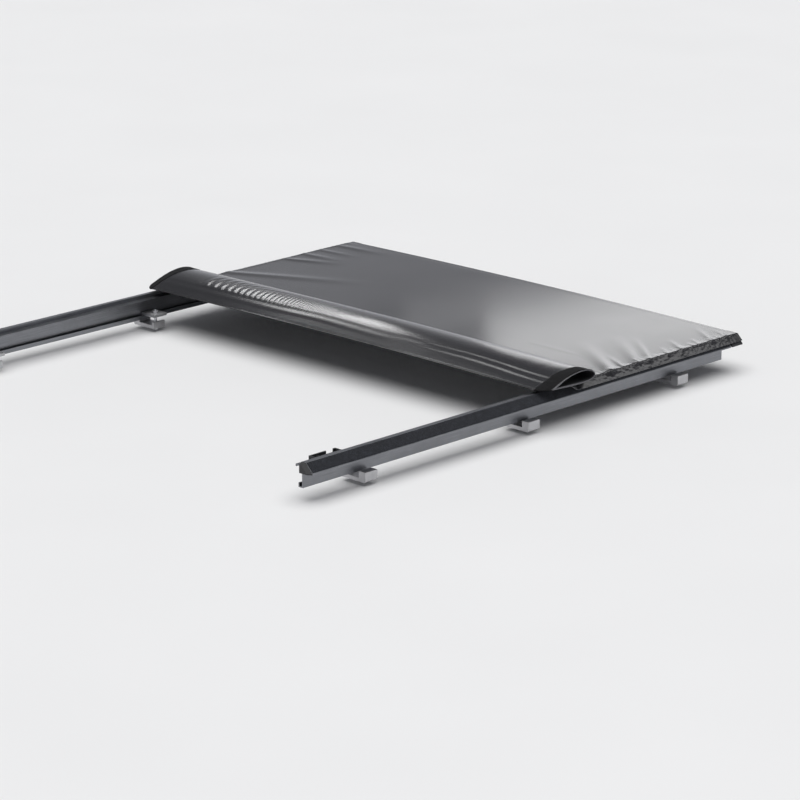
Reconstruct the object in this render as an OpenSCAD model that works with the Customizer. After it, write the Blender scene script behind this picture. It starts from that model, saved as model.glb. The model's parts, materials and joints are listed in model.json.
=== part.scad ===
// Soft roll-up tonneau cover for a pickup truck bed, shown rolled up over the rear half.
// +X to the right of the truck, +Y towards the cab, +Z up. The origin is on the underside of the
// front header, where it rests on the bed's front wall, and z = 0 is the top of the truck's bed rails.

/* [Bed] */
// Centre line to the outer foot of each side rail
half_width = 796; // [780:1:812]
// Front header seat to the tail end of the side rails
bed_length = 1715; // [1700:1:1760]
// Rise of the cover at the middle of its width
crown = 7; // [4:1:10]

/* [Side rails] */
// Height of each rail above the truck's bed rail
rail_h = 28; // [27:0.5:29]
// Thickness of the extrusion's walls
rail_wall = 3; // [2.8:0.1:3.2]
// Width of the flat top, inboard of the sloping face
rail_top_w = 13; // [12:0.5:14]
// Depth of the inner leg below the truck's bed rail
leg_depth = 42; // [40:1:44]
// Width of the hook tape on the sloping face
hook_w = 32; // [28:1:33]

/* [Cover] */
// Thickness of the vinyl
vinyl_t = 1.2; // [1:0.1:1.4]
// Gap between the vinyl and the rails under it
vinyl_gap = 0.3; // [0.3:0.05:0.4]
// Width of the side hem, down the sloping face
hem_w = 28; // [24:1:30]
// Rear end of the flat part of the cover, where the roll begins
sheet_rear = -670; // [-672:1:-660]

/* [Roll] */
// Rear edge of the rolled-up cover
roll_y = -850; // [-850:1:-848]
// Height of that rear edge
roll_z = 36.5; // [36.5:0.1:37]
// Length of the roll's section, rear edge to front edge
roll_len = 215; // [214:1:218]
// Thickness of the wound layers of vinyl
wound_t = 6; // [5:0.5:6]
// Centre line to each end of the roll
roll_half = 805; // [804:1:808]

/* [Header] */
// Rear face of the header
header_rear = -33.5; // [-34:0.1:-33.5]
// Front face of the header
header_front = 10.5; // [10:0.5:11]
// Each way that the tension screws can move the header
tension_travel = 6; // [4:0.5:6]

/* [Bows] */
// Width of each bow
bow_w = 36; // [32:1:36]
// Height of each bow
bow_h = 9.6; // [9:0.1:9.6]
// Place of the front bow along the bed
front_bow_y = -485; // [-520:1:-440]

/* [Clamps] */
// Place of the clamp nearest the cab
clamp_first = -250; // [-300:1:-220]
// Distance from one clamp to the next
clamp_pitch = 620; // [560:1:640]
// Radius of the clamp bolts and tension screws
bolt_r = 4; // [3.5:0.1:4]
// Truck rail flange held between the rail and each clamp jaw
grip = 38; // [36:1:40]

/* [Hidden] */
$fn = 48;
SIDES = ["left", "right"];
CLAMPS = [1, 2, 3];
PAIRED = [
    "side_rail", "hook_tape", "rail_seal", "rear_end_cap", "latch_housing", "latch_lever",
    "latch_spring", "tension_block", "tension_screw", "clamp_brackets", "header_corner",
    "loop_tape", "roll_loop_tape", "storage_strap"
];
SINGLE = [
    "front_header", "header_seal", "header_screws", "cover_retainer", "retainer_screws",
    "strap_anchors", "front_bow", "front_bow_ends", "latch_pins", "rail_screws", "cover_sheet",
    "rolled_cover", "tail_bar", "tail_bar_ends", "tail_seal", "middle_bow", "rear_bow",
    "rolled_bow_ends"
];

ALUMINIUM = "silver";
PLASTIC = "#1c1c1e";
VINYL = "#3a3b40";
TAPE = "#101012";
STEEL = "#b9bcc2";

// Running clearance of a shaft in its bore, and radius of the small screws
fit = 0.05;
screw_r = 2;
screw_head_r = 3.8;
screw_head_h = 2.4;

// Side rail: the sloping face falls at 45 degrees from its top edge to the foot
rail_rear = 12 - bed_length;
rail_front = header_rear - tension_travel - 0.5;
wall_x = half_width - 38;
slope_x = wall_x + rail_top_w;
void_x = wall_x + rail_wall;
foot_h = 3;
floor_h = 4.5;
slope_sum = slope_x + rail_h;
void_sum = slope_sum - rail_wall * sqrt(2);
ledge_z = 17.5;
ledge_x = wall_x - 23;
lip_x = wall_x - 13;
lip_top = 12 - leg_depth;
seal_x = [half_width - 12, half_width - 3];
seal_h = 2.2;

// Tapes: thickness of hook and loop, and the gap between them
tape_t = 1.5;
loop_off = tape_t + vinyl_gap;
hem_off = loop_off + tape_t;
hem_t = 1;
tape_start = 1.5;

// The vinyl bends over the rail here
sheet_low = rail_h + vinyl_gap;
sheet_top = sheet_low + vinyl_t;
bend_x = slope_x + 4.4;
cover_front = header_front + 1.5;

ARCH_STEPS = 16;
QUARTER_STEPS = 6;

bow_half = wall_x - 30;
bow_end_x = wall_x - 2;
bow_wall = 1.5;
clamp_len = 50;
jaw_len = 44;
bolt_x = wall_x - 36;
bracket_low = lip_top;
bracket_t = 8;
jaw_t = 10;
jaw_low = -grip - 18 - jaw_t;

tension_x = wall_x - 10;
tension_z = 7.2;
tension_block_y = [-100, -80];

latch_y = [60 - bed_length, 155 - bed_length];
latch_pin = [103 - bed_length, 14];
latch_x = [wall_x - 25, wall_x];
latch_top = 27.5;
latch_wall = 3.5;
pin_r = 3;

strap_x = 400;
strap_w = 38;
strap_t = 1.5;

function rise(x) = crown * (1 - pow(min(abs(x), bend_x) / bend_x, 2));
function clamp_y(i) = clamp_first - (i - 1) * clamp_pitch;

// A point on the right rail's sloping face: s mm down it and off mm out from it
function on_slope(s, off) = [slope_x + (s + off) / sqrt(2), rail_h + (off - s) / sqrt(2)];
// Distance down the slope at which a layer off mm out crosses the height z
function slope_at(z, off) = off - (z - rail_h) * sqrt(2);
function mirrored(points) = [for (i = [len(points) - 1 : -1 : 0]) [-points[i][0], points[i][1]]];

module at_side(side) {
    if (side == "left") mirror([1, 0, 0]) children();
    else children();
}

// Extrudes an X-Z outline from y_rear to y_front
module along_y(y_rear, y_front) {
    translate([0, y_front, 0]) rotate([90, 0, 0]) linear_extrude(y_front - y_rear) children();
}

// Extrudes a Y-Z outline from x_in to x_out
module along_x(x_in, x_out) {
    translate([x_in, 0, 0]) rotate([90, 0, 90]) linear_extrude(x_out - x_in) children();
}

// Outline across the bed whose top follows the crown; its base follows it too, or is flat
module arch(half, low, high, flat_base = false) {
    xs = [for (i = [0 : ARCH_STEPS]) half * (2 * i / ARCH_STEPS - 1)];
    top = [for (x = xs) [x, high + rise(x)]];
    base = [for (x = xs) [-x, low + (flat_base ? 0 : rise(x))]];
    polygon(concat(top, base));
}

// Crowned bar across the bed, hollow along its length
module crowned_tube(half, height, width, wall) {
    difference() {
        along_y(-width / 2, width / 2) arch(half, 0, height);
        along_y(wall - width / 2, width / 2 - wall) arch(half + 5, wall, height - wall);
    }
}

// Layer lying parallel to the sloping face of the right rail
module slope_layer(s_top, s_low, off_in, off_out) {
    polygon([
        on_slope(s_top, off_in), on_slope(s_low, off_in),
        on_slope(s_low, off_out), on_slope(s_top, off_out)
    ]);
}

module cyl_y(r, y_rear, y_front, x, z) {
    translate([x, y_front, z]) rotate([90, 0, 0]) cylinder(r = r, h = y_front - y_rear);
}

module cyl_x(r, x_in, x_out, y, z) {
    translate([x_in, y, z]) rotate([0, 90, 0]) cylinder(r = r, h = x_out - x_in);
}

// Pan-head screw that points down, with its head above z = 0
module pan_screw(length) {
    translate([0, 0, -length]) cylinder(r = screw_r, h = length);
    difference() {
        cylinder(r = screw_head_r, h = screw_head_h);
        translate([0, 0, screw_head_h - 1.2]) cylinder(r = 2.2, h = 2, $fn = 6);
    }
}

// ---- side rails ----

module rail_outline() {
    difference() {
        polygon([
            [wall_x, rail_h], [slope_x, rail_h], [slope_sum - foot_h, foot_h], [half_width, 0],
            [seal_x[1], 0], [seal_x[1], seal_h], [seal_x[0], seal_h], [seal_x[0], 0],
            [void_x, 0], [void_x, -leg_depth], [lip_x, -leg_depth], [lip_x, lip_top],
            [lip_x + 3, lip_top], [lip_x + 3, 3 - leg_depth], [wall_x, 3 - leg_depth],
            [wall_x, ledge_z - 3], [ledge_x + 2.5, ledge_z - 3], [ledge_x + 2.5, ledge_z - 6],
            [ledge_x, ledge_z - 6], [ledge_x, ledge_z], [wall_x, ledge_z]
        ]);
        polygon([
            [void_x, floor_h], [void_sum - floor_h, floor_h],
            [void_sum - rail_h + rail_wall, rail_h - rail_wall], [void_x, rail_h - rail_wall]
        ]);
    }
}

LATCH_SCREWS = [latch_y[0] + 9, latch_y[1] - 9];
TENSION_SCREW_AT = [-90, -3];

module side_rail(side) {
    color(ALUMINIUM) at_side(side) difference() {
        along_y(rail_rear, rail_front) rail_outline();
        translate([ledge_x - 1, latch_y[0] - 1, ledge_z - 8])
            cube([wall_x - ledge_x + 1, latch_y[1] - latch_y[0] + 2, 10]);
        for (y = LATCH_SCREWS) cyl_x(screw_r + fit, wall_x - 1, void_x + 1, y, latch_pin[1]);
        cyl_x(screw_r + fit, wall_x - 1, void_x + 1, TENSION_SCREW_AT[0], TENSION_SCREW_AT[1]);
    }
}

module hook_tape(side) {
    color(TAPE) at_side(side) along_y(rail_rear + 3, rail_front - 5)
        slope_layer(tape_start, tape_start + hook_w, 0, tape_t);
}

module rail_seal(side) {
    color(PLASTIC) at_side(side) along_y(rail_rear + 2, rail_front - 2)
        polygon([
            [seal_x[0], 0], [seal_x[1], 0], [seal_x[1], seal_h], [seal_x[0], seal_h]
        ]);
}

module rear_end_cap(side) {
    color(PLASTIC) at_side(side) {
        hull() {
            along_y(rail_rear - 2, rail_rear) polygon([
                [wall_x, rail_h], [slope_x, rail_h], [slope_sum - foot_h, foot_h],
                [half_width, 0], [wall_x, 0]
            ]);
            along_y(-bed_length, 1 - bed_length) polygon([
                [wall_x + 2, rail_h - 6], [slope_x - 2, rail_h - 6],
                [half_width - 8, 4], [half_width - 8, 1], [wall_x + 2, 1]
            ]);
        }
        along_y(rail_rear, rail_rear + 20) polygon([
            [void_x + 0.3, floor_h + 0.3], [void_sum - floor_h - 1, floor_h + 0.3],
            [void_sum - rail_h + rail_wall - 0.5, rail_h - rail_wall - 0.4],
            [void_x + 0.3, rail_h - rail_wall - 0.4]
        ]);
    }
}

module rail_screws() {
    color(STEEL) for (side = SIDES) at_side(side) {
        for (y = LATCH_SCREWS)
            translate([wall_x - latch_wall, y, latch_pin[1]]) rotate([0, -90, 0]) pan_screw(9);
        translate([wall_x - 20, TENSION_SCREW_AT[0], TENSION_SCREW_AT[1]])
            rotate([0, -90, 0]) pan_screw(23);
    }
}

// ---- latches near the tail, one in each rail ----

module latch_housing(side) {
    color(PLASTIC) at_side(side) difference() {
        translate([latch_x[0], latch_y[0], 2])
            cube([latch_x[1] - latch_x[0], latch_y[1] - latch_y[0], latch_top - 2]);
        translate([latch_x[0] + latch_wall, latch_y[0] + latch_wall, 5])
            cube([
                latch_x[1] - latch_x[0] - 2 * latch_wall,
                latch_y[1] - latch_y[0] - 2 * latch_wall, latch_top
            ]);
        translate([latch_x[0] - 1, latch_pin[0] + 16, 12])
            cube([latch_wall + 2, 26, latch_top]);
        cyl_x(pin_r + fit, latch_x[0] - 1, latch_x[1] + 1, latch_pin[0], latch_pin[1]);
        for (y = LATCH_SCREWS)
            cyl_x(screw_r + fit, latch_x[1] - latch_wall - 1, latch_x[1] + 1, y, latch_pin[1]);
    }
}

module latch_pins() {
    color(STEEL) for (side = SIDES) at_side(side)
        cyl_x(pin_r, latch_x[0], latch_x[1], latch_pin[0], latch_pin[1]);
}

LEVER_X = [wall_x - 16, wall_x - 7];

module latch_lever(side) {
    color(PLASTIC) at_side(side) difference() {
        union() {
            cyl_x(7, LEVER_X[0], LEVER_X[1], latch_pin[0], latch_pin[1]);
            along_x(LEVER_X[0], LEVER_X[1]) translate(latch_pin) {
                polygon([[-4, -5], [34, -5], [35, -3], [34, 0], [12, 1], [-2, 5.5]]);
            }
            along_x(LEVER_X[0], LEVER_X[1]) translate(latch_pin) {
                polygon([[4, 4], [-4, -4], [-20, 3], [-25, 10], [-24, 12], [-16, 9], [-5, 6.5]]);
            }
        }
        cyl_x(pin_r + fit, LEVER_X[0] - 1, LEVER_X[1] + 1, latch_pin[0], latch_pin[1]);
    }
}

// Spring wire: coils round the pin, then a straight leg at each end
SPRING_TURNS = 3;
SPRING_RINGS = 14;
spring_r = 4.3;
wire_r = 0.5;
function spring_point(i) =
    let (a = 360 * i / SPRING_RINGS)
    [LEVER_X[0] - 1 - 1.15 * a / 360, spring_r * cos(a), spring_r * sin(a)];
spring_last = SPRING_TURNS * SPRING_RINGS;
SPRING_PATH = [for (i = [0 : spring_last]) spring_point(i)];

// Swept wire whose round section stands in the plane through the pin's axis
module spring_wire(path, sides = 8) {
    points = [
        for (p = path, k = [0 : sides - 1])
            let (out = [0, p[1], p[2]] / spring_r, a = 360 * k / sides)
            p + wire_r * (cos(a) * out + sin(a) * [1, 0, 0])
    ];
    last = (len(path) - 1) * sides;
    polyhedron(points, concat(
        [[for (k = [0 : sides - 1]) k]],
        [for (i = [0 : len(path) - 2], k = [0 : sides - 1])
            let (a = i * sides, n = (k + 1) % sides)
            [a + k, a + sides + k, a + sides + n, a + n]],
        [[for (k = [sides - 1 : -1 : 0]) last + k]]
    ));
}

module latch_spring(side) {
    color(STEEL) at_side(side) translate([0, latch_pin[0], latch_pin[1]])
        spring_wire(SPRING_PATH);
}

// ---- cover tension screws, one at the front of each rail ----

module tension_block(side) {
    color(ALUMINIUM) at_side(side) difference() {
        translate([wall_x - 20, tension_block_y[0], -8])
            cube([20, tension_block_y[1] - tension_block_y[0], ledge_z - 3 + 8]);
        cyl_y(
            bolt_r + fit, tension_block_y[0] - 1, tension_block_y[1] + 1, tension_x, tension_z
        );
        cyl_x(screw_r + fit, wall_x - 21, wall_x + 1, TENSION_SCREW_AT[0], TENSION_SCREW_AT[1]);
    }
}

knob_r = 7;
knob_y = [header_rear - 12.3, header_rear - 0.3];

module tension_screw(side) {
    color(STEEL) at_side(side) {
        cyl_y(bolt_r, -118, header_rear + 22, tension_x, tension_z);
        difference() {
            cyl_y(knob_r, knob_y[0], knob_y[1], tension_x, tension_z);
            for (i = [0 : 11])
                translate([tension_x, 0, tension_z]) rotate([0, 30 * i, 0])
                    cyl_y(0.8, knob_y[0] - 1, knob_y[1] + 1, knob_r, 0);
        }
    }
}

// ---- clamps under the truck's bed rails, three a side ----

module clamp_brackets(side) {
    color(ALUMINIUM) at_side(side) for (i = CLAMPS) difference() {
        union() {
            along_y(clamp_y(i) - clamp_len / 2, clamp_y(i) + clamp_len / 2) polygon([
                [lip_x + 5, 3.5 - leg_depth], [lip_x + 11, 3.5 - leg_depth],
                [lip_x + 11, bracket_low + bracket_t], [bolt_x - 22, bracket_low + bracket_t],
                [bolt_x - 22, bracket_low], [lip_x + 5, bracket_low]
            ]);
            translate([bolt_x, clamp_y(i), bracket_low + bracket_t - 1]) cylinder(r = 9, h = 7);
        }
        translate([bolt_x, clamp_y(i), bracket_low - 1])
            cylinder(r = bolt_r + fit, h = bracket_t + 10);
    }
}

module clamp_jaw(side, i) {
    color(ALUMINIUM) at_side(side) difference() {
        along_y(clamp_y(i) - jaw_len / 2, clamp_y(i) + jaw_len / 2) polygon([
            [bolt_x - 16, jaw_low], [half_width - 6, jaw_low], [half_width - 2, jaw_low + 4],
            [half_width - 2, -grip], [void_x + 9, -grip], [void_x + 9, jaw_low + jaw_t],
            [bolt_x - 9, jaw_low + jaw_t], [bolt_x - 9, jaw_low + jaw_t + 10],
            [bolt_x - 16, jaw_low + jaw_t + 10]
        ]);
        translate([bolt_x, clamp_y(i), jaw_low - 1]) cylinder(r = bolt_r + fit, h = jaw_t + 2);
    }
}

module clamp_bolt(side, i) {
    washer_z = jaw_low - 0.2;
    color(STEEL) at_side(side) translate([bolt_x, clamp_y(i), 0]) {
        translate([0, 0, washer_z - 1]) cylinder(r = bolt_r, h = 55);
        translate([0, 0, washer_z - 1.6]) cylinder(r = 8.4, h = 1.6);
        translate([0, 0, washer_z - 7.1]) cylinder(r = 7.5, h = 5.5, $fn = 6);
    }
}

// ---- front header ----

CORNER_SCREW = [wall_x - 43, 14];
RETAINER_XS = [for (i = [-3 : 3]) 230 * i];
retainer_z = 15;

module header_groove() {
    translate([-half_width, header_rear + 6, -1]) cube([2 * half_width, 9, 3]);
}

module front_header() {
    color(ALUMINIUM) difference() {
        along_y(header_rear, header_front) arch(ledge_x, 0, rail_h - 0.1, true);
        along_y(header_rear + 3, header_front - 3) arch(ledge_x + 5, 3, rail_h - 3.1, true);
        header_groove();
        for (x = RETAINER_XS)
            cyl_y(screw_r + fit, header_front - 4, header_front + 1, x, retainer_z);
        for (s = [-1, 1]) {
            cyl_y(
                screw_r + fit, header_rear - 1, header_rear + 4,
                s * CORNER_SCREW[0], CORNER_SCREW[1]
            );
            cyl_y(screw_r + fit, header_rear - 1, header_rear + 4, s * strap_x, retainer_z);
        }
    }
}

module header_seal() {
    color(PLASTIC) translate([2 - ledge_x, header_rear + 6, 0]) cube([2 * ledge_x - 4, 9, 2]);
}

module header_corner(side) {
    color(PLASTIC) at_side(side) difference() {
        union() {
            along_y(header_rear, header_front) polygon([
                [ledge_x, 0], [half_width, 0], [slope_sum - foot_h, foot_h],
                [slope_x, rail_h], [ledge_x, rail_h]
            ]);
            along_y(header_rear - 60, header_rear + 1) polygon([
                [void_x + 0.5, floor_h + 0.5], [void_sum - floor_h - 2, floor_h + 0.5],
                [void_sum - rail_h + rail_wall - 1, rail_h - rail_wall - 0.6],
                [void_x + 0.5, rail_h - rail_wall - 0.6]
            ]);
            translate([ledge_x - 35, header_rear + 3.4, 3.4])
                cube([36, header_front - header_rear - 6.8, 21]);
        }
        cyl_y(bolt_r + fit, header_rear - 1, header_rear + 23, tension_x, tension_z);
        cyl_y(screw_r + fit, header_rear - 1, header_rear + 12, CORNER_SCREW[0], CORNER_SCREW[1]);
    }
}

module header_screws() {
    color(STEEL) for (s = [-1, 1]) {
        translate([s * CORNER_SCREW[0], header_rear, CORNER_SCREW[1]])
            rotate([90, 0, 0]) pan_screw(10);
        translate([s * strap_x, header_rear - strap_t - 2, retainer_z])
            rotate([90, 0, 0]) pan_screw(9);
    }
}

module cover_retainer() {
    color(ALUMINIUM) difference() {
        translate([-ledge_x, cover_front, retainer_z - 7]) cube([2 * ledge_x, 3, 14]);
        for (x = RETAINER_XS)
            cyl_y(screw_r + fit, cover_front - 1, cover_front + 4, x, retainer_z);
    }
}

module retainer_screws() {
    color(STEEL) for (x = RETAINER_XS)
        translate([x, cover_front + 3, retainer_z]) rotate([-90, 0, 0]) pan_screw(12);
}

// Stowed strap: a closed loop of webbing behind the header
module stadium(r, z_low, z_high) {
    translate([-r, z_low]) square([2 * r, z_high - z_low]);
    translate([0, z_low]) circle(r = r);
    translate([0, z_high]) circle(r = r);
}

module storage_strap(side) {
    loop_r = 8.75;
    color(TAPE) at_side(side) difference() {
        along_x(strap_x - strap_w / 2, strap_x + strap_w / 2)
            translate([header_rear - loop_r, 0]) difference() {
                stadium(loop_r, -66, 22);
                stadium(loop_r - strap_t, -66, 22);
            }
        cyl_y(screw_r + fit, header_rear - 3, header_rear + 1, strap_x, retainer_z);
    }
}

module strap_anchors() {
    color(PLASTIC) for (s = [-1, 1]) difference() {
        translate([s * strap_x - 20, header_rear - strap_t - 2, retainer_z - 7]) cube([40, 2, 14]);
        cyl_y(screw_r + fit, header_rear - 6, header_rear + 1, s * strap_x, retainer_z);
    }
}

// ---- bows ----

module bow_bar() {
    color(ALUMINIUM) crowned_tube(bow_half, bow_h, bow_w, bow_wall);
}

// End fitting that rests on the rail's ledge, with a tongue inside the bow
module bow_ends() {
    color(PLASTIC) for (side = SIDES) at_side(side) {
        translate([bow_half, -bow_w / 2, -0.2]) cube([bow_end_x - bow_half, bow_w, bow_h - 0.1]);
        translate([bow_half - 28, bow_wall + 0.4 - bow_w / 2, 3.1])
            cube([29, bow_w - 2 * bow_wall - 0.8, 5]);
    }
}

module at_front_bow() {
    translate([0, front_bow_y, ledge_z + 0.2]) children();
}

module at_middle_bow() {
    translate([0, roll_y + 64 + bow_w / 2, roll_z + 4]) children();
}

module at_rear_bow() {
    translate([0, roll_y + 102 + bow_w / 2, roll_z + 3.6]) children();
}

module front_bow() {
    at_front_bow() bow_bar();
}

module front_bow_ends() {
    at_front_bow() bow_ends();
}

module middle_bow() {
    at_middle_bow() bow_bar();
}

module rear_bow() {
    at_rear_bow() bow_bar();
}

module rolled_bow_ends() {
    at_middle_bow() bow_ends();
    at_rear_bow() bow_ends();
}

// ---- vinyl ----

// The vinyl's section across the bed: crowned top and a hem down each sloping rail face
module cover_section() {
    xs = [for (i = [0 : ARCH_STEPS]) bend_x * (2 * i / ARCH_STEPS - 1)];
    hem = [
        on_slope(slope_at(sheet_top, hem_off + hem_t), hem_off + hem_t),
        on_slope(hem_w, hem_off + hem_t), on_slope(hem_w, hem_off),
        on_slope(slope_at(sheet_low, hem_off), hem_off)
    ];
    inner = [for (i = [1 : ARCH_STEPS - 1]) xs[i]];
    polygon(concat(
        [for (x = inner) [x, sheet_top + rise(x)]], hem,
        [for (x = inner) [-x, sheet_low + rise(x)]], mirrored(hem)
    ));
}

module cover_sheet() {
    color(VINYL) {
        along_y(sheet_rear, cover_front) cover_section();
        difference() {
            along_y(header_front + 0.3, cover_front) arch(ledge_x, 6, sheet_low + 0.5, true);
            for (x = RETAINER_XS)
                cyl_y(screw_r + fit, header_front - 1, cover_front + 1, x, retainer_z);
        }
    }
}

module loop_tape(side) {
    color(TAPE) at_side(side) along_y(sheet_rear, cover_front)
        slope_layer(slope_at(sheet_low, hem_off) + 0.1, hem_w - 1, loop_off, hem_off);
}

// ---- roll ----

// Leaf-shaped section of the roll: sharp rear edge, round front; its four quarters run from the
// rear edge along the underside and back over the top
roll_top = [150, 33];
roll_low = [170, -5];
roll_mid_z = 10;
function leaf_point(t, inset) =
    let (
        quarter = floor(t), u = 90 * (t - quarter),
        tip = [3.94, 0.7] * inset,
        low_z = roll_low[1] + inset,
        top_z = roll_top[1] - inset,
        front_y = roll_len - inset
    )
    quarter == 0
        ? [tip[0] + (roll_low[0] - tip[0]) * u / 90, tip[1] + (low_z - tip[1]) * sin(u)]
    : quarter == 1
        ? [roll_low[0] + (front_y - roll_low[0]) * sin(u),
            roll_mid_z - (roll_mid_z - low_z) * cos(u)]
    : quarter == 2
        ? [roll_top[0] + (front_y - roll_top[0]) * cos(u),
            roll_mid_z + (top_z - roll_mid_z) * sin(u)]
    : [roll_top[0] + (tip[0] - roll_top[0]) * u / 90, tip[1] + (top_z - tip[1]) * cos(u)];

// Past end_start the rear edge draws forward, so each end of the roll is rounded in plan
end_start = roll_half - 40;
end_pull = 35;
function pull(x) = end_pull * pow(max(0, abs(x) - end_start) / 40, 2);
function roll_ring(x, inset) = [
    for (i = [0 : 4 * QUARTER_STEPS - 1])
        let (p = leaf_point(i / QUARTER_STEPS, inset), y = p[0] + pull(x) * (1 - p[0] / roll_len))
        [x, roll_y + y, roll_z + rise(x) + p[1]]
];

// Open-ended tube whose wall lies between two insets of the leaf section
module leaf_tube(stations, inset_out, inset_in) {
    n = 4 * QUARTER_STEPS;
    count = len(stations);
    points = concat(
        [for (x = stations) each roll_ring(x, inset_out)],
        [for (x = stations) each roll_ring(x, inset_in)]
    );
    inner = n * count;
    last = n * (count - 1);
    polyhedron(points, concat(
        [for (i = [0 : count - 2], k = [0 : n - 1])
            let (a = i * n, j = (k + 1) % n) [a + k, a + j, a + n + j, a + n + k]],
        [for (i = [0 : count - 2], k = [0 : n - 1])
            let (a = inner + i * n, j = (k + 1) % n) [a + k, a + n + k, a + n + j, a + j]],
        [for (k = [0 : n - 1]) let (j = (k + 1) % n) [k, inner + k, inner + j, j]],
        [for (k = [0 : n - 1])
            let (j = (k + 1) % n) [last + k, last + j, inner + last + j, inner + last + k]]
    ));
}

module rolled_cover() {
    middle = [for (i = [0 : ARCH_STEPS]) end_start * (2 * i / ARCH_STEPS - 1)];
    color(VINYL) leaf_tube(
        concat([-roll_half, 20 - roll_half], middle, [roll_half - 20, roll_half]), 0, wound_t
    );
}

module roll_loop_tape(side) {
    color(TAPE) at_side(side)
        leaf_tube([end_start + 3, roll_half - 20, roll_half - 2], -1.6, -0.4);
}

tail_bar_y = roll_y + 165;
tail_bar_z = roll_z + 3;
tail_bar_w = 50;
tail_bar_h = 18;
tail_wall = 2.5;

module tail_bar() {
    color(ALUMINIUM) translate([0, tail_bar_y, tail_bar_z])
        crowned_tube(ledge_x, tail_bar_h, tail_bar_w, tail_wall);
}

module tail_bar_ends() {
    color(PLASTIC) translate([0, tail_bar_y, tail_bar_z]) for (side = SIDES) at_side(side) {
        translate([ledge_x, -tail_bar_w / 2, 0.3]) cube([14, tail_bar_w, tail_bar_h]);
        translate([ledge_x + 13, -8, 5]) cube([6, 16, 8]);
        translate([ledge_x - 25, tail_wall + 0.4 - tail_bar_w / 2, tail_wall + 1.6])
            cube([26, tail_bar_w - 2 * tail_wall - 0.8, 11.6]);
    }
}

module tail_seal() {
    front = tail_bar_y + tail_bar_w / 2;
    color(PLASTIC) along_y(front, front + 7) arch(ledge_x, tail_bar_z + 4, tail_bar_z + 12);
}

// ---- one node at a time, or the whole assembly ----

front_header();
header_seal();
header_screws();
cover_retainer();
retainer_screws();
strap_anchors();
front_bow();
front_bow_ends();
latch_pins();
rail_screws();
cover_sheet();
rolled_cover();
tail_bar();
tail_bar_ends();
tail_seal();
middle_bow();
rear_bow();
rolled_bow_ends();
for (side = SIDES) {
    side_rail(side);
    hook_tape(side);
    rail_seal(side);
    rear_end_cap(side);
    latch_housing(side);
    latch_lever(side);
    latch_spring(side);
    tension_block(side);
    tension_screw(side);
    clamp_brackets(side);
    header_corner(side);
    loop_tape(side);
    roll_loop_tape(side);
    storage_strap(side);
    for (i = CLAMPS) {
        clamp_jaw(side, i);
        clamp_bolt(side, i);
    }
}
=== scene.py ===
"""Looks of a soft roll-up tonneau cover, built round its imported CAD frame.

Metres, in the CAD frame: +X to the truck's right, +Y towards the cab, +Z up.
"""

import json
import math

import bpy
import numpy as np
from mathutils import Matrix, Vector


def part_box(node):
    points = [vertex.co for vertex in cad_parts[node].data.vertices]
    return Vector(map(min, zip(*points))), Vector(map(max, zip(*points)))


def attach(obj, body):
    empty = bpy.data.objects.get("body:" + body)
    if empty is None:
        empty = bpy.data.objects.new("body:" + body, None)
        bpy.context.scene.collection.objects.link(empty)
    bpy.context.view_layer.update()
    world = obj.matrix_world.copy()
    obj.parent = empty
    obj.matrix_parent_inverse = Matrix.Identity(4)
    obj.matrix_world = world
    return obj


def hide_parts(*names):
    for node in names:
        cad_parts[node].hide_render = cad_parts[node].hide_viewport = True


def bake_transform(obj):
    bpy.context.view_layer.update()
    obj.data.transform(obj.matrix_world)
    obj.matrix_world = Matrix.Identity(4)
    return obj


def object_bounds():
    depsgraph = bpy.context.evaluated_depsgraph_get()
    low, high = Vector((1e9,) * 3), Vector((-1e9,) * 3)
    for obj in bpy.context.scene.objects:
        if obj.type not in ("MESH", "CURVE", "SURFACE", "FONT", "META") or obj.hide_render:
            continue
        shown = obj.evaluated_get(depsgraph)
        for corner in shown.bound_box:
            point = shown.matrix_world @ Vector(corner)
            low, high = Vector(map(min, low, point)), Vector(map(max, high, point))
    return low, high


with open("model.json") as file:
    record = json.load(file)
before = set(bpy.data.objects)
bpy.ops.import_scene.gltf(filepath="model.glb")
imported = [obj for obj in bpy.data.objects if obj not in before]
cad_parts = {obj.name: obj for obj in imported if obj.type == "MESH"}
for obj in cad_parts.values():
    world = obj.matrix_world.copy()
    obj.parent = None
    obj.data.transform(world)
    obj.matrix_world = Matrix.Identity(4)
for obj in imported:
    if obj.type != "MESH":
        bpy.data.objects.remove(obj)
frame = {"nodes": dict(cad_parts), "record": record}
cad_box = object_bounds()

SEED = 11
HALF_ROOT = math.sqrt(0.5)

# ---- sizes that the looks share with the CAD part ----

# Rails: top, outer edge, start of the sloping face, and the line where the cover bends over it
RAIL_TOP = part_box("right_side_rail")[1].z
RAIL_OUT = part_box("right_side_rail")[1].x
SLOPE_X = RAIL_OUT - 0.025
BEND_X = SLOPE_X + 0.0044
CROWN = 0.007
SIDES = {"left": -1, "right": 1}

# Flat part of the cover: vinyl thickness, outer face above the rails, bends at hem and front,
# apron down the header's front face, and the end that flattens out and rises into the roll
VINYL = 0.001
TOP_Z = RAIL_TOP + 0.0014
HEM_BEND = 0.0055
FRONT_Y = 0.0119
FRONT_BEND = 0.0035
APRON_LOW = 0.006
APRON_X = 0.735
TUCK_Y = -0.745
TUCK_LIFT = 0.0027
TUCK_RISE_Y = -0.660
TUCK_FLAT = (-0.690, -0.737)

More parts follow.
